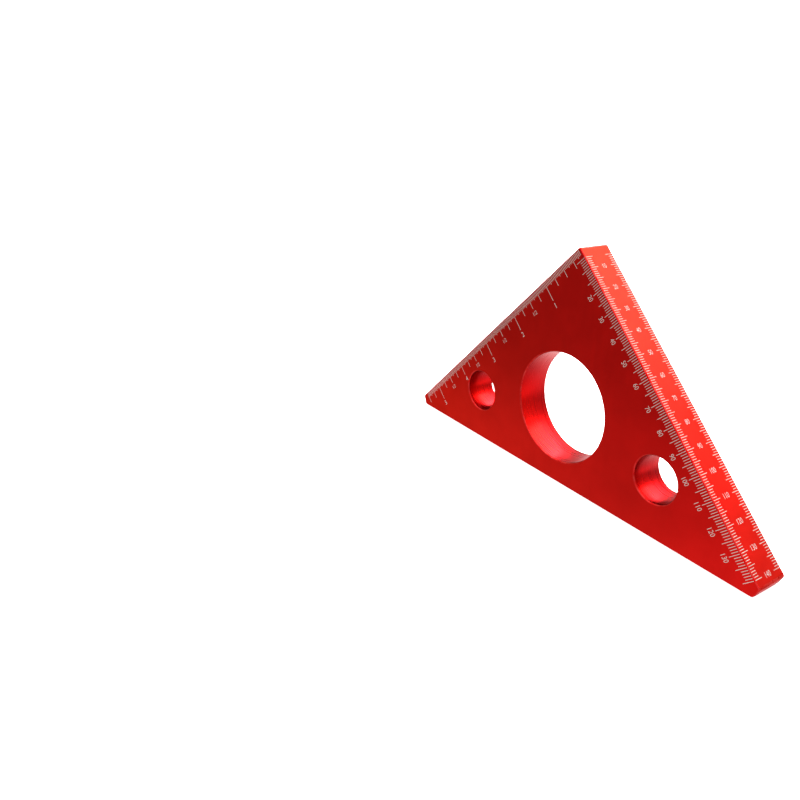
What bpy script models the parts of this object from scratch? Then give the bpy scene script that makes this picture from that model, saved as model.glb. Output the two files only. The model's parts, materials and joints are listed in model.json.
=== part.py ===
"""Layout square: a solid right-angled triangle milled from thick aluminium plate, anodised red.

It stands on its long side with the right angle up. One leg carries a centimetre scale and the
other an inch scale, on the front and on the back. The longest lines of each scale are modelled
here as white enamel fills, each one lying in its own pocket of the plate.

Distances are in metres. The plate is laid out with two distances measured from the right angle,
one along the metric leg and one along the inch leg, and a depth from 0 on the front face to
THICKNESS on the back face.
"""

import math

import bmesh
import bpy
from mathutils import Vector

# Plate
LEG = 0.150
THICKNESS = 0.016
EDGE_BREAK = 0.0004
APEX_RADIUS = 0.0010
TIP_SETBACK = 0.0064
TIP_RADIUS = 0.0015
CORNER_STEPS = 4

# Through holes: one large one and, near each acute corner, a small one
LARGE_HOLE_RADIUS = 0.025
LARGE_HOLE_FROM_LEGS = 0.050
SMALL_HOLE_RADIUS = 0.010
SMALL_HOLE_ALONG = 0.095
SMALL_HOLE_ACROSS = 0.020
HOLE_EDGE_BREAK = 0.0005
LARGE_HOLE_SIDES = 96
SMALL_HOLE_SIDES = 48
CUTTER_OVERRUN = 0.002

# Scale lines and the enamel that fills them
CENTIMETRE = 0.010
CENTIMETRE_COUNT = 14
INCH = 0.0254
HALF_INCH_COUNT = 11
LINE_WIDTH = 0.00025
LINE_START = 0.0009
CENTIMETRE_LINE_END = 0.0054
INCH_LINE_END = 0.0098
HALF_INCH_LINE_END = 0.0063
LINE_BY_HOLE_END = 0.0088
FILL_DEPTH = 0.00030
FILL_RECESS = 0.00003
FILL_GAP = 0.00030
LINE_END_STEPS = 4

# Colours are linear
ANODISED_RED = (0.48, 0.008, 0.010, 1.0)
ENAMEL_WHITE = (0.80, 0.76, 0.72, 1.0)


def clear_scene():
    for item in list(bpy.data.objects):
        bpy.data.objects.remove(item, do_unlink=True)


def make_material(name, colour, metallic, roughness):
    material = bpy.data.materials.new(name)
    material.use_nodes = True
    shader = material.node_tree.nodes["Principled BSDF"]
    shader.inputs["Base Color"].default_value = colour
    shader.inputs["Metallic"].default_value = metallic
    shader.inputs["Roughness"].default_value = roughness
    return material


def at(metric, inch, depth):
    """The point at these distances along the metric leg, along the inch leg and behind the front face."""
    across = (metric - inch) / math.sqrt(2)
    up = (LEG - metric - inch) / math.sqrt(2)
    return Vector((across, depth - THICKNESS / 2, up))


def link_mesh(name, shape, material=None):
    bmesh.ops.recalc_face_normals(shape, faces=shape.faces)
    mesh = bpy.data.meshes.new(name)
    shape.to_mesh(mesh)
    shape.free()
    item = bpy.data.objects.new(name, mesh)
    bpy.context.scene.collection.objects.link(item)
    if material is not None:
        mesh.materials.append(material)
    return item


def mark_as_cutter(item):
    item.hide_render = True
    item.display_type = "WIRE"


def fillet(corner, before, after, radius):
    """Arc points that round the corner between its two neighbours."""
    to_before = (before - corner).normalized()
    to_after = (after - corner).normalized()
    half_angle = to_before.angle(to_after) / 2
    middle = (to_before + to_after).normalized()
    centre = corner + middle * (radius / math.sin(half_angle))
    reach = radius / math.tan(half_angle)
    start = corner + to_before * reach - centre
    end = corner + to_after * reach - centre
    turn = start.angle(end)
    points = []
    for step in range(CORNER_STEPS + 1):
        share = step / CORNER_STEPS
        blend = start * math.sin((1 - share) * turn) + end * math.sin(share * turn)
        points.append(centre + blend / math.sin(turn))
    return points


def plate_outline():
    """The plate's outline: the right angle, then each acute corner cut off square to its bisector."""
    along_slope = TIP_SETBACK / math.sqrt(2)
    corners = [
        (Vector((0, 0)), APEX_RADIUS),
        (Vector((LEG - TIP_SETBACK, 0)), TIP_RADIUS),
        (Vector((LEG - along_slope, along_slope)), TIP_RADIUS),
        (Vector((along_slope, LEG - along_slope)), TIP_RADIUS),
        (Vector((0, LEG - TIP_SETBACK)), TIP_RADIUS),
    ]
    outline = []
    for index, (corner, radius) in enumerate(corners):
        before = corners[index - 1][0]
        after = corners[(index + 1) % len(corners)][0]
        outline.extend(fillet(corner, before, after, radius))
    return outline


def add_plate(material):
    """The blank: the outline extruded to the full thickness, with a chamfer round both faces."""
    shape = bmesh.new()
    ring = [shape.verts.new(at(point.x, point.y, 0)) for point in plate_outline()]
    front = shape.faces.new(ring)
    extruded = bmesh.ops.extrude_face_region(shape, geom=[front])
    back = [part for part in extruded["geom"] if isinstance(part, bmesh.types.BMVert)]
    bmesh.ops.translate(shape, verts=back, vec=(0, THICKNESS, 0))
    rims = []
    for edge in shape.edges:
        run = edge.verts[1].co - edge.verts[0].co
        if abs(run.y) < THICKNESS / 2:
            rims.append(edge)
    bmesh.ops.recalc_face_normals(shape, faces=shape.faces)
    bmesh.ops.bevel(
        shape,
        geom=rims,
        offset=EDGE_BREAK,
        offset_type="OFFSET",
        segments=1,
        affect="EDGES",
        clamp_overlap=False,
    )
    return link_mesh("body", shape, material)


def add_hole_cutter(name, metric, inch, radius, sides):
    """A turned cutter that leaves a straight bore with a chamfer at both faces."""
    flare = HOLE_EDGE_BREAK + CUTTER_OVERRUN
    profile = [
        (radius + flare, -CUTTER_OVERRUN),
        (radius, HOLE_EDGE_BREAK),
        (radius, THICKNESS - HOLE_EDGE_BREAK),
        (radius + flare, THICKNESS + CUTTER_OVERRUN),
    ]
    shape = bmesh.new()
    rings = []
    for ring_radius, depth in profile:
        ring = []
        for side in range(sides):
            angle = 2 * math.pi * side / sides
            offset = Vector((math.cos(angle), 0, math.sin(angle))) * ring_radius
            ring.append(shape.verts.new(at(metric, inch, depth) + offset))
        rings.append(ring)
    for lower, upper in zip(rings, rings[1:]):
        for side in range(sides):
            after = (side + 1) % sides
            shape.faces.new((lower[side], lower[after], upper[after], upper[side]))
    shape.faces.new(rings[0])
    shape.faces.new(rings[-1])
    cutter = link_mesh(name, shape)
    mark_as_cutter(cutter)
    return cutter


def add_slot(shape, line, gap, depths):
    """Adds a round-ended bar along a scale line, wider and longer than the line by gap all round."""
    start, end = line
    along = (end - start).normalized()
    across = Vector((-along.y, along.x))
    radius = LINE_WIDTH / 2 + gap
    outline = []
    for centre, direction in ((end, 1), (start, -1)):
        for step in range(LINE_END_STEPS + 1):
            angle = math.pi * step / LINE_END_STEPS - math.pi / 2
            offset = along * math.cos(angle) + across * math.sin(angle)
            outline.append(centre + offset * radius * direction)
    ring = [shape.verts.new(at(point.x, point.y, depths[0])) for point in outline]
    face = shape.faces.new(ring)
    extruded = bmesh.ops.extrude_face_region(shape, geom=[face])
    far = [part for part in extruded["geom"] if isinstance(part, bmesh.types.BMVert)]
    bmesh.ops.translate(shape, verts=far, vec=(0, depths[1] - depths[0], 0))


def scale_lines():
    """Name, start and end of each long line, from the leg's edge towards the middle of the plate."""
    lines = []
    for count in range(1, CENTIMETRE_COUNT + 1):
        along = CENTIMETRE * count
        ends = (Vector((along, LINE_START)), Vector((along, CENTIMETRE_LINE_END)))
        lines.append((f"centimetre_line_{count:02d}", ends))
    for halves in range(1, HALF_INCH_COUNT + 1):
        along = INCH * halves / 2
        whole = halves % 2 == 0
        reach = INCH_LINE_END if whole else HALF_INCH_LINE_END
        if whole and abs(along - SMALL_HOLE_ALONG) < SMALL_HOLE_RADIUS:
            reach = LINE_BY_HOLE_END
        ends = (Vector((LINE_START, along)), Vector((reach, along)))
        kind = "inch_line" if whole else "half_inch_line"
        lines.append((f"{kind}_{(halves + 1) // 2}", ends))
    return lines


def face_depths(front, top, bottom):
    """Depths below one of the two faces, turned into depths from the front face."""
    if front:
        return top, bottom
    return THICKNESS - top, THICKNESS - bottom


def add_scales(enamel):
    """The enamel fills on both faces, and one cutter that holds the pockets for all of them."""
    pockets = bmesh.new()
    for side in ("front", "back"):
        front = side == "front"
        for name, line in scale_lines():
            fill = bmesh.new()
            add_slot(fill, line, 0, face_depths(front, FILL_RECESS, FILL_DEPTH))
            link_mesh(f"{side}_{name}", fill, enamel)
            pocket = face_depths(front, -CUTTER_OVERRUN, FILL_DEPTH + FILL_GAP)
            add_slot(pockets, line, FILL_GAP, pocket)
    cutter = link_mesh("line_pockets", pockets)
    mark_as_cutter(cutter)
    return cutter


def cut(body, cutter):
    modifier = body.modifiers.new(cutter.name, "BOOLEAN")
    modifier.operation = "DIFFERENCE"
    modifier.solver = "EXACT"
    modifier.object = cutter


def main():
    clear_scene()
    anodised = make_material("anodised_red", ANODISED_RED, 0.9, 0.38)
    enamel = make_material("white_enamel", ENAMEL_WHITE, 0.0, 0.6)
    body = add_plate(anodised)
    centre = LARGE_HOLE_FROM_LEGS
    cut(body, add_hole_cutter("large_hole", centre, centre, LARGE_HOLE_RADIUS, LARGE_HOLE_SIDES))
    small = ((SMALL_HOLE_ALONG, SMALL_HOLE_ACROSS), (SMALL_HOLE_ACROSS, SMALL_HOLE_ALONG))
    for name, (metric, inch) in zip(("metric_end_hole", "inch_end_hole"), small):
        cut(body, add_hole_cutter(name, metric, inch, SMALL_HOLE_RADIUS, SMALL_HOLE_SIDES))
    cut(body, add_scales(enamel))
    body.data.shade_smooth()
    body.data.set_sharp_from_angle(angle=math.radians(30))


main()
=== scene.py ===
"""Looks of the layout square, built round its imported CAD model.

The machined body is rebuilt as one closed mesh with rounded edge breaks, chamfered bores and every
line and number of the scales cut in as a real groove. White enamel fills the grooves, as its own
pieces. Distances are in metres.

Each flat face is laid out in its own plane, with u and v right-handed as seen from outside, and a
depth below the face. Places on the body are given by the distances along the two legs from the
right angle, and by the depth behind the front face.
"""

import json
import math
from collections import namedtuple

import bmesh
import bpy
from mathutils import Matrix, Vector
from mathutils.geometry import delaunay_2d_cdt


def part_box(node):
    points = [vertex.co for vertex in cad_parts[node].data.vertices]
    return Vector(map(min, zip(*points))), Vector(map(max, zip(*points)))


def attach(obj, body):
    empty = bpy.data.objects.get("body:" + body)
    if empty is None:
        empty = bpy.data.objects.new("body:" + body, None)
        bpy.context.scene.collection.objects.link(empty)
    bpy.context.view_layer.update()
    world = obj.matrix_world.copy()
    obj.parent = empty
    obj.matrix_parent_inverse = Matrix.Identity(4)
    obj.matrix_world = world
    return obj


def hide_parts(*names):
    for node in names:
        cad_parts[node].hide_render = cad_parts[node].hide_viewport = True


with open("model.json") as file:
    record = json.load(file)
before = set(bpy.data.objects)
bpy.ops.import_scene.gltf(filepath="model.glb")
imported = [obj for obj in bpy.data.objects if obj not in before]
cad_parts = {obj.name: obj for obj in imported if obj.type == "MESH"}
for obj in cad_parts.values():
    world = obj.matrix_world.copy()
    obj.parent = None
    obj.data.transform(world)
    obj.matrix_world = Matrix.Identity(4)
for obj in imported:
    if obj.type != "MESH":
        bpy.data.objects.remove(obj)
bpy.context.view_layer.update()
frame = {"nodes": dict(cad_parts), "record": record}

MM = 0.001
ROOT_BODY = "root"
BODY_NODE = "body"
# The side scales take a darker copy of the white enamel: painted shade against the strong light on the
# side faces.
SCALES_WITH_SHADED_ENAMEL = ("metric_side_scale", "inch_side_scale")

# Edges and corners. An edge break is a chamfer whose shoulders are rounded by the power.
EDGE_BREAK = 0.4 * MM
BORE_BREAK = 0.5 * MM
BREAK_STEPS = 6
BREAK_POWER = 1.45
APEX_RADIUS = 1.0 * MM
TIP_SETBACK = 6.4 * MM
TIP_RADIUS = 1.5 * MM
CORNER_STEPS = 8
BORE_SIDE_LENGTH = 1.0 * MM

# Engraving. Narrowing is a number's width as a share of the font's own, and boldness thickens it.
Digits = namedtuple("Digits", "height narrowing boldness")
METRIC_LINE_WIDTH = 0.24 * MM
INCH_LINE_WIDTH = 0.28 * MM
GROOVE_DEPTH = 0.12 * MM
ENAMEL_RECESS = 0.02 * MM
ENAMEL_FLOOR_GAP = 0.005 * MM
LINE_START = EDGE_BREAK + 0.08 * MM
CURVE_STEPS = 3

# Metric scale: reach of each kind of line from the edge, for a face and for a leg's own side
METRIC_FIRST = 5
METRIC_LAST = 140
FACE_METRIC_REACH = {10: 5.3 * MM, 5: 5.4 * MM, 1: 3.6 * MM}
SIDE_METRIC_REACH = {10: 4.3 * MM, 5: 4.2 * MM, 1: 2.9 * MM}
FACE_METRIC_NUMBERS = range(20, 140, 10)
SIDE_METRIC_NUMBERS = range(10, 150, 10)
FACE_METRIC_NUMBER_AT = 7.2 * MM
FACE_METRIC_DIGITS = Digits(2.3 * MM, 0.76, 0.02)
SIDE_METRIC_DIGITS = Digits(2.1 * MM, 0.80, 0.03)

# Inch scale, in 32 parts to the inch
INCH = 25.4 * MM
INCH_PARTS = 32
INCH_FIRST = 2
INCH_LAST = 176
FACE_INCH_REACH = {32: 9.9 * MM, 16: 6.3 * MM, 8: 6.3 * MM, 4: 3.7 * MM, 1: 3.1 * MM}
SIDE_INCH_REACH = {32: 4.6 * MM, 16: 4.6 * MM, 8: 4.0 * MM, 4: 3.4 * MM, 1: 2.7 * MM}
FACE_INCH_NUMBER_AT = 12.2 * MM
FACE_HALF_NUMBER_AT = 8.5 * MM
FACE_INCH_DIGITS = Digits(2.4 * MM, 1.0, 0.022)
FACE_HALF_DIGITS = Digits(1.9 * MM, 0.85, 0.02)
SIDE_INCH_DIGITS = Digits(1.9 * MM, 0.85, 0.02)
BORE_CLEARANCE = 0.5 * MM

# Materials. A noise's scale is in features to the metre. Colours are red, green, blue and alpha.
Noise = namedtuple("Noise", "scale detail")
Bump = namedtuple("Bump", "strength distance")
Dye = namedtuple("Dye", "facing grazing")
Finish = namedtuple("Finish", "dye tint roughness streak_stretch wear")
Enamel = namedtuple("Enamel", "light grey")
# Painted light and shade: each pair is a facing and a grazing colour fitted to this view, so faces seen at
# a slant come out a darker, more orange red.
FLAT_DYE_AND_SLANT_SHADE = Dye((0.63, 0.0060, 0.0060, 1), (0.41, 0.0135, 0.0075, 1))
BORE_DYE_AND_SLANT_SHADE = Dye((0.62, 0.0050, 0.0037, 1), (0.41, 0.0022, 0.0045, 1))
WORN_METAL = (0.75, 0.10, 0.09, 1)

# The base colour goes from its facing to its grazing colour between two slants, where 0 is face on. The
# two colours are fitted to this one view: painted light and shade between the faces, partly also the real
# deepening of a dyed layer at a slant. It is darkened in clouds to a share of itself. A tint is the colour
# of the metal's reflection at a slant.
DYE_AND_SHADE_SLANTS = (0.15, 0.50)
DYE_SHADE = 0.88
EDGE_TINT = (1.0, 0.45, 0.45, 1)
BORE_TINT = (1.0, 0.75, 0.75, 1)
DYE_CLOUDS = Noise(90, 3)
WEAR_PATCHES = Noise(400, 3)
STREAKS = Noise(700, 2)
STREAK_BUMP = Bump(0.06, 0.02 * MM)
GRAIN = Noise(9000, 1)
GRAIN_BUMP = Bump(0.12, 0.02 * MM)

# Finishes of the body, in the order of its material slots
FINISHES = {
    "anodised_flat": Finish(FLAT_DYE_AND_SLANT_SHADE, EDGE_TINT, (0.30, 0.38), (1, 1, 0.06), 0.0),
    "anodised_break": Finish(FLAT_DYE_AND_SLANT_SHADE, EDGE_TINT, (0.26, 0.34), (1, 1, 1), 0.35),
    "anodised_bore": Finish(BORE_DYE_AND_SLANT_SHADE, BORE_TINT, (0.24, 0.34), (0.05, 1.5, 0.05), 0.0),
    "engraved_groove": Finish(FLAT_DYE_AND_SLANT_SHADE, EDGE_TINT, (0.50, 0.60), (1, 1, 1), 0.0),
}
FLAT, BREAK, BORE, GROOVE = range(len(FINISHES))
WHITE_ENAMEL = Enamel((0.60, 0.49, 0.44, 1), (0.48, 0.38, 0.34, 1))
# Painted shade: a darker copy of the white enamel for the side faces, which the light from above and
# behind falls on strongly.
SHADED_ENAMEL = Enamel((0.36, 0.294, 0.264, 1), (0.288, 0.228, 0.204, 1))
ENAMEL_ROUGHNESS = (0.5, 0.75)
ENAMEL_PATCHES = Noise(1500, 3)
ENAMEL_PITS = Noise(12000, 2)
ENAMEL_PIT_BUMP = Bump(0.25, 0.01 * MM)

# Camera, in the frame's metres and degrees
CAMERA_PLACE = (0.1965, -0.2250, 0.1578)
CAMERA_TURN = 56.07
CAMERA_DIP = 23.05
CAMERA_ROLL = 1.65
CAMERA_LENS = 31.58
CAMERA_CLIP = (0.01, 20)

# Floor. Reflections see it glow with a strength that depends on the place along Y: (place, strength).
FLOOR_RADIUS = 3.0
FLOOR_SIDES = 64
FLOOR_GAP = 0.01 * MM
FLOOR_COLOUR = (0.82, 0.82, 0.82, 1)
FLOOR_ROUGHNESS = 0.7
FLOOR_SHINE = 0.1
FLOOR_LIFT = 0.6
GLOW_TOP = 2.0
FLOOR_GLOW = (
    (-0.25, 0.48),
    (-0.12, 0.55),
    (-0.05, 0.95),
    (-0.008, 1.15),
    (0.015, 1.10),
    (0.04, 1.40),
    (0.07, 1.80),
    (0.10, 1.50),
    (0.25, 0.65),
)
GLOW_START = FLOOR_GLOW[0][0]
GLOW_END = FLOOR_GLOW[-1][0]

# A soft shaded spot in that glow, and the share of the glow that is left at its centre
SHADE_PLACE = (0.025, -0.025, 0)
SHADE_REACH = 0.06
GLOW_LEFT_IN_SHADE = 0.73

# Softbox. Its panel's glow falls to nothing between two ray depths, so only first reflections see it.
SOFTBOX_PLACE = (-0.065, 0.74, 1.11)
SOFTBOX_TARGET = (0, 0, 0.05)
SOFTBOX_SIZE = (1.7, 0.8)
SOFTBOX_GLOW = 17.0
SOFTBOX_FADE = (1.4, 1.5)
SOFTBOX_LAMP = 6.0

# Surroundings: strength for the camera, and for light and reflections between two upward slopes
CAMERA_SKY = 1.2
SKY_HEIGHTS = (0.0, 0.8)
SKY_STRENGTHS = (0.58, 1.8)


# ------------------------------------------------------------------ measures taken from the frame


def leg_length():
    """A leg's side meets the base plane where across plus up makes the leg's length over root 2."""
    mounts = frame["record"]["mounts"]
    place = Vector(next(m["pos_m"] for m in mounts if m["name"] == "metric_leg_face"))
    return (place.x + place.z) * math.sqrt(2)


BODY_LOW, BODY_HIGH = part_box(BODY_NODE)
THICKNESS = BODY_HIGH.y - BODY_LOW.y
LEG = leg_length()


def find_bores():
    """(along metric leg, along inch leg, radius) of each bore, from the rings of the CAD body."""
    ring_depth = BODY_LOW.y + BORE_BREAK
    tolerance = 0.02 * MM
    gap_between_bores = 5 * MM
    points = sorted(
        (v.co.x, v.co.z)
        for v in frame["nodes"][BODY_NODE].data.vertices
        if abs(v.co.y - ring_depth) < tolerance
    )
    groups = [[points[0]]]
    for point in points[1:]:
        if point[0] - groups[-1][-1][0] > gap_between_bores:
            groups.append([])
        groups[-1].append(point)
    bores = []
    for group in groups:
        across = (group[0][0] + group[-1][0]) / 2
        heights = [z for _, z in group]
        up = (min(heights) + max(heights)) / 2
        both = LEG - up * math.sqrt(2)
        difference = across * math.sqrt(2)
        radius = (group[-1][0] - group[0][0]) / 2
        bores.append(((both + difference) / 2, (both - difference) / 2, radius))
    return bores


BORES = find_bores()


def at(metric, inch, depth):
    """The point at these distances along the two legs and behind the front face."""
    across = (metric - inch) / math.sqrt(2)
    up = (LEG - metric - inch) / math.sqrt(2)
    return Vector((across, BODY_LOW.y + depth, up))


# ------------------------------------------------------------------ outlines


def fillet(corner, before, after, radius):
    """Arc points that round the corner between its two neighbours."""
    to_before = (before - corner).normalized()
    to_after = (after - corner).normalized()
    half_angle = to_before.angle(to_after) / 2
    middle = (to_before + to_after).normalized()
    centre = corner + middle * (radius / math.sin(half_angle))
    reach = radius / math.tan(half_angle)
    start = corner + to_before * reach - centre
    end = corner + to_after * reach - centre
    turn = start.angle(end)
    points = []
    for step in range(CORNER_STEPS + 1):
        share = step / CORNER_STEPS
        blend = start * math.sin((1 - share) * turn) + end * math.sin(share * turn)
        points.append(centre + blend / math.sin(turn))
    return points


def crossing(point, direction, other, other_direction):
    """Where two lines in the plane meet."""
    cross = direction.x * other_direction.y - direction.y * other_direction.x
    gap = other - point
    share = (gap.x * other_direction.y - gap.y * other_direction.x) / cross
    return point + direction * share


def moved_inwards(corners, inset):
    """The corners of a convex outline after each side is moved inwards."""
    sides = []
    for index, corner in enumerate(corners):
        along = (corners[(index + 1) % len(corners)] - corner).normalized()
        inward = Vector((-along.y, along.x))
        sides.append((corner + inward * inset, along))
    return [crossing(*sides[index - 1], *sides[index]) for index in range(len(corners))]


def plate_corners(inset):
    """The rounded corners of the plate, as arcs in (along metric leg, along inch leg), moved inwards."""
    slope_part = TIP_SETBACK / math.sqrt(2)
    corners = [
        Vector((0, 0)),
        Vector((LEG - TIP_SETBACK, 0)),
        Vector((LEG - slope_part, slope_part)),
        Vector((slope_part, LEG - slope_part)),
        Vector((0, LEG - TIP_SETBACK)),
    ]
    radii = [APEX_RADIUS] + [TIP_RADIUS] * (len(corners) - 1)
    moved = moved_inwards(corners, inset)
    arcs = []
    for index, corner in enumerate(moved):
        after = moved[(index + 1) % len(moved)]
        arcs.append(fillet(corner, moved[index - 1], after, radii[index] - inset))
    return arcs


def break_profile(size):
    """(inset, depth) points of an edge break, from the side to the face: a chamfer with soft shoulders."""
    points = []
    for step in range(BREAK_STEPS + 1):
        angle = math.pi / 2 * step / BREAK_STEPS
        inset = size * (1 - math.cos(angle) ** (2 / BREAK_POWER))
        depth = size * (1 - math.sin(angle) ** (2 / BREAK_POWER))
        points.append((inset, depth))
    return points


def bore_circle(metric, inch, radius, base_radius):
    """Points round a bore. Every ring of one bore has the same number of points."""
    sides = 4 * round(2 * math.pi * base_radius / BORE_SIDE_LENGTH / 4)
    turns = [2 * math.pi * side / sides for side in range(sides)]
    return [Vector((metric + radius * math.cos(t), inch + radius * math.sin(t))) for t in turns]


# ------------------------------------------------------------------ numbers


def wire_loops(mesh):
    """The closed loops of a mesh that has only edges."""
    links = {}
    for edge in mesh.edges:
        first, second = edge.vertices
        links.setdefault(first, []).append(second)
        links.setdefault(second, []).append(first)
    loops = []
    unused = set(links)
    while unused:
        start = min(unused)
        loop = [start]
        unused.discard(start)
        here = links[start][0]
        last = start
        while here != start:
            loop.append(here)
            unused.discard(here)
            ways = links[here]
            last, here = here, ways[0] if ways[0] != last else ways[1]
        loops.append([Vector(mesh.vertices[index].co[:2]) for index in loop])
    return loops


def number_loops(text, digits):
    """Outlines of a number, centred on the origin, upright along +Y."""
    curve = bpy.data.curves.new("number", "FONT")
    curve.body = text
    curve.fill_mode = "NONE"
    curve.offset = digits.boldness
    curve.resolution_u = CURVE_STEPS
    item = bpy.data.objects.new("number", curve)
    bpy.context.scene.collection.objects.link(item)
    evaluated = item.evaluated_get(bpy.context.evaluated_depsgraph_get())
    loops = wire_loops(evaluated.to_mesh())
    evaluated.to_mesh_clear()
    bpy.data.objects.remove(item)
    bpy.data.curves.remove(curve)
    points = [point for loop in loops for point in loop]
    low = Vector((min(p.x for p in points), min(p.y for p in points)))
    high = Vector((max(p.x for p in points), max(p.y for p in points)))
    centre = (low + high) / 2
    scale = digits.height / (high.y - low.y)
    narrow = Vector((scale * digits.narrowing, scale))
    return [[(point - centre) * narrow for point in loop] for loop in loops]


def anticlockwise(loop):
    area = sum(first.cross(second) for first, second in zip(loop, loop[1:] + loop[:1]))
    return loop if area > 0 else loop[::-1]


def holds(loop, point):
    """True if the point is inside the loop."""
    inside = False
    for first, second in zip(loop, loop[1:] + loop[:1]):
        if (first.y > point.y) != (second.y > point.y):
            share = (point.y - first.y) / (second.y - first.y)
            if point.x < first.x + share * (second.x - first.x):
                inside = not inside
    return inside


# ------------------------------------------------------------------ flat faces and their marks


class Sheet:
    """One flat face of the body: its outline, the openings through it and the marks cut in it."""

    def __init__(self, place, outline, openings=()):
        self.place = place
        self.loops = [("outline", outline)] + [("opening", loop) for loop in openings]

    def line(self, scale, start, end, width):
        """A straight groove with square ends."""
        along = (end - start).normalized()
        side = Vector((-along.y, along.x)) * (width / 2)
        self.loops.append((scale, [start - side, end - side, end + side, start + side]))

    def number(self, scale, text, centre, upright, digits):
        """A number whose digits stand along upright."""
        reading = Vector((upright.y, -upright.x))
        loops = number_loops(text, digits)
        for loop in loops:
            island = any(other is not loop and holds(other, loop[0]) for other in loops)
            placed = [centre + reading * point.x + upright * point.y for point in loop]
            self.loops.append(("island" if island else scale, placed))

    def triangles(self):
        """Points in millimetres and, for each triangle, its corners and the scale it is cut for."""
        points = []
        faces = []
        for _, loop in self.loops:
            start = len(points)
            points.extend(point / MM for point in anticlockwise(loop))
            faces.append(list(range(start, len(points))))
        merge_distance = 1e-5
        found = delaunay_2d_cdt(points, [], faces, 0, merge_distance)
        kept = []
        for corners, sources in zip(found[2], found[5]):
            kinds = {self.loops[source][0] for source in sources}
            if "outline" not in kinds or "opening" in kinds:
                continue
            scales = kinds - {"outline", "island"}
            cut = scales.pop() if scales and "island" not in kinds else None
            kept.append((corners, cut))
        return [Vector(point) * MM for point in found[0]], kept


class Solid:
    """Collects faces for one mesh. Points that lie on each other are joined at the end."""

    def __init__(self):
        self.points = []
        self.faces = []
        self.materials = []

    def add(self, corners, material=0):
        start = len(self.points)
        self.points.extend(corners)
        self.faces.append(range(start, len(self.points)))
        self.materials.append(material)

    def add_band(self, lower, upper, material):
        """Four-sided faces between two closed rings with the same number of points."""
        for index in range(len(lower)):
            after = (index + 1) % len(lower)
            self.add((lower[index], lower[after], upper[after], upper[index]), material)

    def make(self, name, materials, smooth):
        """The collected faces as an object. Faces in the smooth material slots are shaded smooth."""
        mesh = bpy.data.meshes.new(name)
        mesh.from_pydata(self.points, [], self.faces)
        for material in materials:
            mesh.materials.append(material)
        mesh.polygons.foreach_set("material_index", self.materials)
        mesh.polygons.foreach_set("use_smooth", [index in smooth for index in self.materials])
        shape = bmesh.new()
        shape.from_mesh(mesh)
        join_distance = 0.001 * MM
        bmesh.ops.remove_doubles(shape, verts=shape.verts, dist=join_distance)
        bmesh.ops.recalc_face_normals(shape, faces=shape.faces)
        shape.to_mesh(mesh)
        shape.free()
        piece = bpy.data.objects.new(name, mesh)
        bpy.context.scene.collection.objects.link(piece)
        return piece


def build_sheet(sheet, body, enamel):
    """Adds a face with its grooves to the body, and the grooves' fills to the enamel solids."""
    points, triangles = sheet.triangles()

    def placed(indexes, depth):
        return [sheet.place(points[i].x, points[i].y, depth) for i in indexes]

    sides = {}
    for corners, scale in triangles:
        for start, end in zip(corners, corners[1:] + corners[:1]):
            sides[(start, end)] = scale
    for corners, scale in triangles:
        if scale is None:
            body.add(placed(corners, 0), FLAT)
            continue
        fill = enamel.setdefault(scale, Solid())
        floor = GROOVE_DEPTH - ENAMEL_FLOOR_GAP
        body.add(placed(corners, GROOVE_DEPTH), GROOVE)
        fill.add(placed(corners, ENAMEL_RECESS))
        fill.add(placed(corners, floor))
        for edge in zip(corners, corners[1:] + corners[:1]):
            if sides.get(edge[::-1]) == scale:
                continue
            body.add(placed(edge, 0) + placed(edge[::-1], GROOVE_DEPTH), GROOVE)
            fill.add(placed(edge, ENAMEL_RECESS) + placed(edge[::-1], floor))


# ------------------------------------------------------------------ scales


def line_reach(count, reaches):
    """The reach of the longest kind of line that the count is a multiple of."""
    return reaches[next(kind for kind in sorted(reaches, reverse=True) if count % kind == 0)]


def clear_of_bores(along, from_edge):
    """A distance from the inch leg, made less where it would come too close to a bore."""
    limit = from_edge
    for bore_across, bore_along, radius in BORES:
        wide = radius + BORE_BREAK + BORE_CLEARANCE
        offset = abs(along - bore_along)
        if offset < wide:
            limit = min(limit, bore_across - math.sqrt(wide**2 - offset**2))
    return limit


def metric_lines(sheet, scale, to_plane, reaches):
    for count in range(METRIC_FIRST, METRIC_LAST + 1):
        along = count * MM
        reach = line_reach(count, reaches)
        sheet.line(scale, to_plane(along, LINE_START), to_plane(along, reach), METRIC_LINE_WIDTH)


def inch_lines(sheet, scale, to_plane, reaches, whole_reach=None):
    for count in range(INCH_FIRST, INCH_LAST + 1):
        along = count * INCH / INCH_PARTS
        reach = line_reach(count, reaches)
        if whole_reach and count % INCH_PARTS == 0:
            reach = whole_reach(along)
        sheet.line(scale, to_plane(along, LINE_START), to_plane(along, reach), INCH_LINE_WIDTH)


def inch_numbers():
    """(along, text, is whole) of each number of the inch scale. The first half inch has none."""
    numbers = []
    for halves in range(2, 2 * INCH_LAST // INCH_PARTS):
        whole = halves % 2 == 0
        text = str(halves // 2) if whole else "1/2"
        numbers.append((halves * INCH / 2, text, whole))
    return numbers


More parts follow.
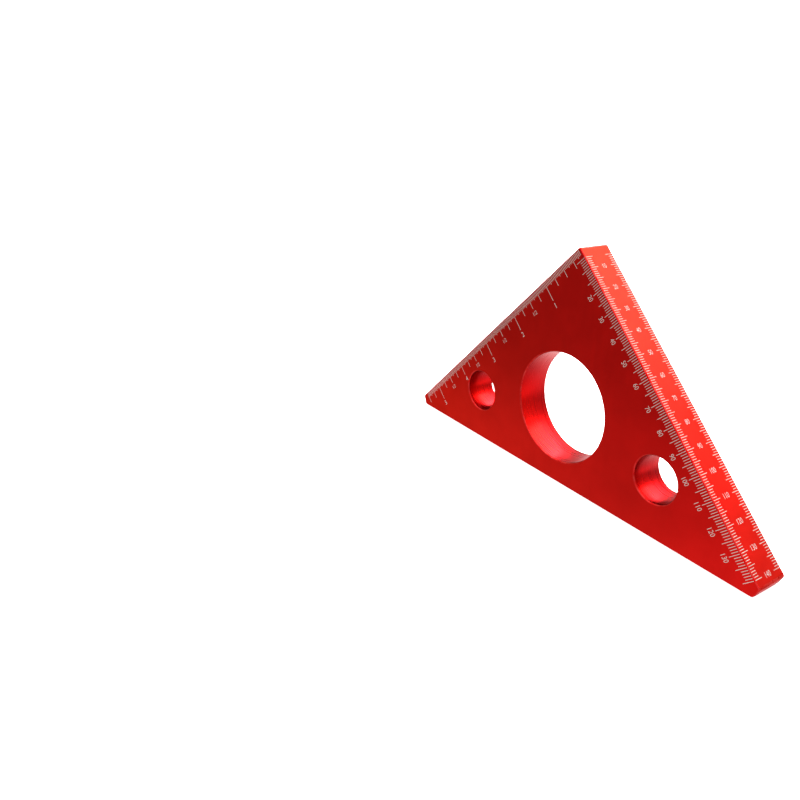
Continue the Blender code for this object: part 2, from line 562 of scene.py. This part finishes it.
def mark_face(sheet, side, metric_plane, inch_plane, metric_up, inch_up):
    """Both scales of the front or the back face."""
    metric = f"{side}_metric_scale"
    inch = f"{side}_inch_scale"
    metric_lines(sheet, metric, metric_plane, FACE_METRIC_REACH)
    for value in FACE_METRIC_NUMBERS:
        centre = metric_plane(value * MM, FACE_METRIC_NUMBER_AT)
        sheet.number(metric, str(value), centre, metric_up, FACE_METRIC_DIGITS)

    def whole_number_at(along):
        half_height = FACE_INCH_DIGITS.height / 2
        return clear_of_bores(along, FACE_INCH_NUMBER_AT + half_height) - half_height

    def whole_line_reach(along):
        shift = whole_number_at(along) - FACE_INCH_NUMBER_AT
        return FACE_INCH_REACH[INCH_PARTS] + shift

    inch_lines(sheet, inch, inch_plane, FACE_INCH_REACH, whole_line_reach)
    for along, text, whole in inch_numbers():
        from_edge = whole_number_at(along) if whole else FACE_HALF_NUMBER_AT
        digits = FACE_INCH_DIGITS if whole else FACE_HALF_DIGITS
        sheet.number(inch, text, inch_plane(along, from_edge), inch_up, digits)


def face_sheet(front):
    """The front or back face, with its bores and scales."""
    outline = [point for arc in plate_corners(EDGE_BREAK) for point in arc]
    circles = [bore_circle(m, i, r + BORE_BREAK, r) for m, i, r in BORES]
    if front:
        def place(u, v, depth):
            return at(v, u, depth)

        def metric_plane(along, from_edge):
            return Vector((from_edge, along))

        def inch_plane(along, from_edge):
            return Vector((along, from_edge))

        swapped = [[Vector((p.y, p.x)) for p in loop] for loop in [outline] + circles]
        sheet = Sheet(place, swapped[0][::-1], [loop[::-1] for loop in swapped[1:]])
        mark_face(sheet, "front", metric_plane, inch_plane, Vector((-1, 0)), Vector((0, -1)))
        return sheet

    def place(u, v, depth):
        return at(u, v, THICKNESS - depth)

    def metric_plane(along, from_edge):
        return Vector((along, from_edge))

    def inch_plane(along, from_edge):
        return Vector((from_edge, along))

    sheet = Sheet(place, outline, circles)
    mark_face(sheet, "back", metric_plane, inch_plane, Vector((0, -1)), Vector((-1, 0)))
    return sheet


def side_sheet(on_metric_leg):
    """The flat side along a leg. Lines stand on both of its borders and numbers in the middle."""
    arcs = plate_corners(0)
    middle = THICKNESS / 2
    if on_metric_leg:
        start, end = arcs[0][-1].x, arcs[1][0].x

        def place(u, v, depth):
            return at(u, depth, v)

        def plane(along, across):
            return Vector((along, across))

        upright = Vector((-1, 0))
    else:
        start, end = arcs[0][0].y, arcs[-1][-1].y

        def place(u, v, depth):
            return at(depth, v, u)

        def plane(along, across):
            return Vector((across, along))

        upright = Vector((0, -1))
    corners = [
        plane(start, EDGE_BREAK),
        plane(end, EDGE_BREAK),
        plane(end, THICKNESS - EDGE_BREAK),
        plane(start, THICKNESS - EDGE_BREAK),
    ]
    sheet = Sheet(place, corners if on_metric_leg else corners[::-1])

    def from_front(along, from_edge):
        return plane(along, from_edge)

    def from_back(along, from_edge):
        return plane(along, THICKNESS - from_edge)

    for border in (from_front, from_back):
        if on_metric_leg:
            metric_lines(sheet, "metric_side_scale", border, SIDE_METRIC_REACH)
        else:
            inch_lines(sheet, "inch_side_scale", border, SIDE_INCH_REACH)
    if on_metric_leg:
        for value in SIDE_METRIC_NUMBERS:
            centre = plane(value * MM, middle)
            sheet.number("metric_side_scale", str(value), centre, upright, SIDE_METRIC_DIGITS)
    else:
        for along, text, _ in inch_numbers():
            centre = plane(along, middle)
            sheet.number("inch_side_scale", text, centre, upright, SIDE_INCH_DIGITS)
    return sheet


# ------------------------------------------------------------------ body


def add_rim(body, levels):
    """The edge breaks and the plain sides. The two marked sides are left open for their sheets."""
    rings = []
    for inset, depth in levels:
        arcs = plate_corners(inset)
        rings.append([at(point.x, point.y, depth) for arc in arcs for point in arc])
    points_per_arc = CORNER_STEPS + 1
    marked = (points_per_arc - 1, len(rings[0]) - 1)
    for lower, upper in zip(rings, rings[1:]):
        is_side = abs(upper[0].y - lower[0].y) > THICKNESS / 2
        for index in range(len(lower)):
            after = (index + 1) % len(lower)
            if is_side and index in marked:
                continue
            corner = index % points_per_arc != points_per_arc - 1
            material = BREAK if corner or not is_side else FLAT
            body.add((lower[index], lower[after], upper[after], upper[index]), material)


def add_bore(body, metric, inch, radius, levels):
    """A bore's wall and its two breaks, from the front face to the back face."""
    rings = []
    for outset, depth in levels:
        circle = bore_circle(metric, inch, radius + outset, radius)
        rings.append([at(point.x, point.y, depth) for point in circle])
    for lower, upper in zip(rings, rings[1:]):
        is_wall = abs(upper[0].y - lower[0].y) > THICKNESS / 2
        body.add_band(lower, upper, BORE if is_wall else BREAK)


def both_breaks(size):
    """(inset or outset, depth) levels from the front face to the back face."""
    profile = break_profile(size)
    return profile[::-1] + [(inset, THICKNESS - depth) for inset, depth in profile]


def build_body(materials, enamel):
    """Makes the body, and fills the dictionary with a solid of enamel for each scale."""
    body = Solid()
    add_rim(body, both_breaks(EDGE_BREAK))
    for metric, inch, radius in BORES:
        add_bore(body, metric, inch, radius, both_breaks(BORE_BREAK))
    for sheet in (face_sheet(True), face_sheet(False), side_sheet(True), side_sheet(False)):
        build_sheet(sheet, body, enamel)
    piece = body.make("machined_body", materials, (BREAK, BORE))
    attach(piece, ROOT_BODY)
    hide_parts(BODY_NODE)


def replaced_lines(scale):
    """The CAD nodes of the long lines that a scale's enamel stands for."""
    side, unit = scale.split("_")[:2]
    wanted = ("centimetre_line",) if unit == "metric" else ("inch_line", "half_inch_line")
    nodes = frame["nodes"]
    return [n for n in nodes if n.startswith(tuple(f"{side}_{kind}" for kind in wanted))]


# ------------------------------------------------------------------ materials


class Nodes:
    """A short way to build the node tree of a material or of the world."""

    def __init__(self, owner):
        owner.use_nodes = True
        self.tree = owner.node_tree

    def add(self, kind, **settings):
        node = self.tree.nodes.new("ShaderNode" + kind)
        for name, value in settings.items():
            setattr(node, name, value)
        return node

    def put(self, value, target):
        """Links another node's output to an input, or sets the input to a plain value."""
        if isinstance(value, bpy.types.NodeSocket):
            self.tree.links.new(value, target)
        else:
            target.default_value = value

    def coordinates(self, scale=(1, 1, 1)):
        place = self.add("TexCoord")
        mapping = self.add("Mapping")
        self.put(scale, mapping.inputs["Scale"])
        self.put(place.outputs["Object"], mapping.inputs["Vector"])
        return mapping.outputs["Vector"]

    def noise(self, noise, stretch=(1, 1, 1)):
        node = self.add("TexNoise")
        self.put(noise.scale, node.inputs["Scale"])
        self.put(noise.detail, node.inputs["Detail"])
        self.put(self.coordinates(stretch), node.inputs["Vector"])
        return node.outputs["Fac"]

    def spread(self, value, low, high, from_low=0.3, from_high=0.7):
        """The value's range, which for a noise is about 0.3 to 0.7, laid over low to high."""
        node = self.add("MapRange")
        self.put(from_low, node.inputs["From Min"])
        self.put(from_high, node.inputs["From Max"])
        self.put(low, node.inputs["To Min"])
        self.put(high, node.inputs["To Max"])
        self.put(value, node.inputs["Value"])
        return node.outputs["Result"]

    def mix(self, share, first, second, blend="MIX"):
        """A blend of two colours. The Mix node keeps its sockets for colours at these indexes."""
        node = self.add("Mix", data_type="RGBA", blend_type=blend)
        self.put(share, node.inputs[0])
        self.put(first, node.inputs[6])
        self.put(second, node.inputs[7])
        return node.outputs[2]

    def bump(self, height, bump, before=None):
        node = self.add("Bump")
        self.put(bump.strength, node.inputs["Strength"])
        self.put(bump.distance, node.inputs["Distance"])
        self.put(height, node.inputs["Height"])
        if before is not None:
            self.put(before, node.inputs["Normal"])
        return node.outputs["Normal"]


def anodised(name, finish):
    """Dyed and sealed aluminium, its colour thinner on worn edges. The colour also shifts with the viewing
    slant, as painted light and shade between the faces.
    """
    material = bpy.data.materials.new(name)
    nodes = Nodes(material)
    shader = nodes.tree.nodes["Principled BSDF"]
    slant = nodes.add("LayerWeight").outputs["Facing"]
    # Painted light and shade: the base colour shifts with the viewing slant between two colours fitted to
    # this view.
    dye = nodes.mix(nodes.spread(slant, 0, 1, *DYE_AND_SHADE_SLANTS), finish.dye.facing, finish.dye.grazing)
    cloud = nodes.spread(nodes.noise(DYE_CLOUDS), DYE_SHADE, 1)
    clouded = nodes.mix(1.0, dye, cloud, "MULTIPLY")
    wear = nodes.spread(nodes.noise(WEAR_PATCHES), 0, finish.wear)
    nodes.put(nodes.mix(wear, clouded, WORN_METAL), shader.inputs["Base Color"])
    grain = nodes.noise(GRAIN)
    streak = nodes.noise(STREAKS, finish.streak_stretch)
    nodes.put(nodes.spread(streak, *finish.roughness), shader.inputs["Roughness"])
    normal = nodes.bump(grain, GRAIN_BUMP, nodes.bump(streak, STREAK_BUMP))
    nodes.put(normal, shader.inputs["Normal"])
    nodes.put(1.0, shader.inputs["Metallic"])
    nodes.put(finish.tint, shader.inputs["Specular Tint"])
    return material


def enamel_material(name, colours):
    """Matt white enamel, a little uneven and worn down to grey in places."""
    material = bpy.data.materials.new(name)
    nodes = Nodes(material)
    shader = nodes.tree.nodes["Principled BSDF"]
    patch = nodes.noise(ENAMEL_PATCHES)
    colour = nodes.mix(nodes.spread(patch, 0, 1), colours.light, colours.grey)
    nodes.put(colour, shader.inputs["Base Color"])
    nodes.put(nodes.spread(patch, *ENAMEL_ROUGHNESS), shader.inputs["Roughness"])
    nodes.put(nodes.bump(nodes.noise(ENAMEL_PITS), ENAMEL_PIT_BUMP), shader.inputs["Normal"])
    return material


# ------------------------------------------------------------------ stage


def floor_glow(nodes):
    """How strongly reflections see each place of the floor glow."""
    curve = nodes.add("FloatCurve")
    points = [
        ((place - GLOW_START) / (GLOW_END - GLOW_START), strength / GLOW_TOP)
        for place, strength in FLOOR_GLOW
    ]
    line = curve.mapping.curves[0]
    line.points[0].location = points[0]
    line.points[1].location = points[-1]
    for point in points[1:-1]:
        line.points.new(*point)
    curve.mapping.update()
    place = nodes.coordinates()
    split = nodes.add("SeparateXYZ")
    nodes.put(place, split.inputs[0])
    nodes.put(nodes.spread(split.outputs["Y"], 0, 1, GLOW_START, GLOW_END), curve.inputs["Value"])
    away = nodes.add("VectorMath", operation="DISTANCE")
    nodes.put(place, away.inputs[0])
    nodes.put(SHADE_PLACE, away.inputs[1])
    least = GLOW_LEFT_IN_SHADE * GLOW_TOP
    shade = nodes.spread(away.outputs["Value"], least, GLOW_TOP, 0, SHADE_REACH)
    strength = nodes.add("Math", operation="MULTIPLY")
    nodes.put(curve.outputs[0], strength.inputs[0])
    nodes.put(shade, strength.inputs[1])
    return strength.outputs[0]


def floor_material():
    """The camera sees the floor nearly white, with the square's soft shadow. Reflections see a glow."""
    material = bpy.data.materials.new("pale_floor")
    nodes = Nodes(material)
    shader = nodes.tree.nodes["Principled BSDF"]
    nodes.put(FLOOR_COLOUR, shader.inputs["Base Color"])
    nodes.put(FLOOR_ROUGHNESS, shader.inputs["Roughness"])
    nodes.put(FLOOR_SHINE, shader.inputs["Specular IOR Level"])
    lift = nodes.add("Emission")
    nodes.put(FLOOR_LIFT, lift.inputs["Strength"])
    seen = nodes.add("AddShader")
    nodes.put(shader.outputs[0], seen.inputs[0])
    nodes.put(lift.outputs[0], seen.inputs[1])
    glow = nodes.add("Emission")
    nodes.put(floor_glow(nodes), glow.inputs["Strength"])
    both = nodes.add("MixShader")
    nodes.put(nodes.add("LightPath").outputs["Is Camera Ray"], both.inputs[0])
    nodes.put(glow.outputs[0], both.inputs[1])
    nodes.put(seen.outputs[0], both.inputs[2])
    nodes.put(both.outputs[0], nodes.tree.nodes["Material Output"].inputs["Surface"])
    return material


def add_floor():
    shape = bmesh.new()
    bmesh.ops.create_circle(shape, cap_ends=True, segments=FLOOR_SIDES, radius=FLOOR_RADIUS)
    mesh = bpy.data.meshes.new("floor")
    shape.to_mesh(mesh)
    shape.free()
    mesh.materials.append(floor_material())
    floor = bpy.data.objects.new("floor", mesh)
    floor.location.z = BODY_LOW.z - FLOOR_GAP
    bpy.context.scene.collection.objects.link(floor)


def aimed(item):
    """Puts a light or panel in the scene at the softbox's place, with its -Z towards the square."""
    item.location = SOFTBOX_PLACE
    direction = Vector(SOFTBOX_TARGET) - Vector(SOFTBOX_PLACE)
    item.rotation_euler = direction.to_track_quat("-Z", "Y").to_euler()
    bpy.context.scene.collection.objects.link(item)
    return item


def softbox_material():
    material = bpy.data.materials.new("softbox_panel")
    nodes = Nodes(material)
    depth = nodes.add("LightPath").outputs["Ray Depth"]
    glow = nodes.add("Emission")
    nodes.put(nodes.spread(depth, SOFTBOX_GLOW, 0, *SOFTBOX_FADE), glow.inputs["Strength"])
    nodes.put(glow.outputs[0], nodes.tree.nodes["Material Output"].inputs["Surface"])
    material.cycles.emission_sampling = "NONE"
    return material


def add_softbox():
    """A panel above and behind the square. The camera doesn't see it and it casts no shadow."""
    width, height = SOFTBOX_SIZE
    corners = [(x * width / 2, y * height / 2, 0) for x, y in ((-1, -1), (-1, 1), (1, 1), (1, -1))]
    mesh = bpy.data.meshes.new("softbox_panel")
    mesh.from_pydata(corners, [], [(0, 1, 2, 3)])
    mesh.materials.append(softbox_material())
    panel = aimed(bpy.data.objects.new("softbox_panel", mesh))
    panel.visible_camera = False
    panel.visible_shadow = False


def add_lamp():
    """A weak lamp in the panel's place, which lights everything and casts shadows."""
    lamp = bpy.data.lights.new("softbox_lamp", "AREA")
    lamp.shape = "RECTANGLE"
    lamp.size, lamp.size_y = SOFTBOX_SIZE
    lamp.energy = SOFTBOX_LAMP
    aimed(bpy.data.objects.new("softbox_lamp", lamp))


def add_world():
    """White for the camera. For light and reflections the sky is brightest overhead."""
    world = bpy.data.worlds.new("studio")
    bpy.context.scene.world = world
    nodes = Nodes(world)
    background = nodes.tree.nodes["Background"]
    nodes.put((1, 1, 1, 1), background.inputs["Color"])
    split = nodes.add("SeparateXYZ")
    nodes.put(nodes.add("TexCoord").outputs["Generated"], split.inputs[0])
    sky = nodes.spread(split.outputs["Z"], *SKY_STRENGTHS, *SKY_HEIGHTS)
    choose = nodes.add("Mix", data_type="FLOAT")
    nodes.put(nodes.add("LightPath").outputs["Is Camera Ray"], choose.inputs[0])
    nodes.put(sky, choose.inputs[2])
    nodes.put(CAMERA_SKY, choose.inputs[3])
    nodes.put(choose.outputs[0], background.inputs["Strength"])


def add_camera():
    camera = bpy.data.cameras.new("camera")
    camera.lens = CAMERA_LENS
    camera.clip_start, camera.clip_end = CAMERA_CLIP
    item = bpy.data.objects.new("camera", camera)
    turn = Matrix.Rotation(math.radians(CAMERA_TURN), 4, "Z")
    dip = Matrix.Rotation(math.radians(90 - CAMERA_DIP), 4, "X")
    roll = Matrix.Rotation(math.radians(CAMERA_ROLL), 4, "Z")
    item.matrix_world = Matrix.Translation(CAMERA_PLACE) @ turn @ dip @ roll
    bpy.context.scene.collection.objects.link(item)
    bpy.context.scene.camera = item


def main():
    finishes = [anodised(name, finish) for name, finish in FINISHES.items()]
    white = enamel_material("white_enamel", WHITE_ENAMEL)
    shaded_white = enamel_material("shaded_enamel", SHADED_ENAMEL)
    enamel = {}
    build_body(finishes, enamel)
    for scale, fill in enamel.items():
        # The side scales take the darker enamel copy, painted shade against the light on the sides.
        material = shaded_white if scale in SCALES_WITH_SHADED_ENAMEL else white
        piece = fill.make(scale + "_enamel", [material], ())
        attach(piece, ROOT_BODY)
        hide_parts(*replaced_lines(scale))
    add_floor()
    add_world()
    add_softbox()
    add_lamp()
    add_camera()
    bpy.context.scene.view_settings.view_transform = "Standard"


main()
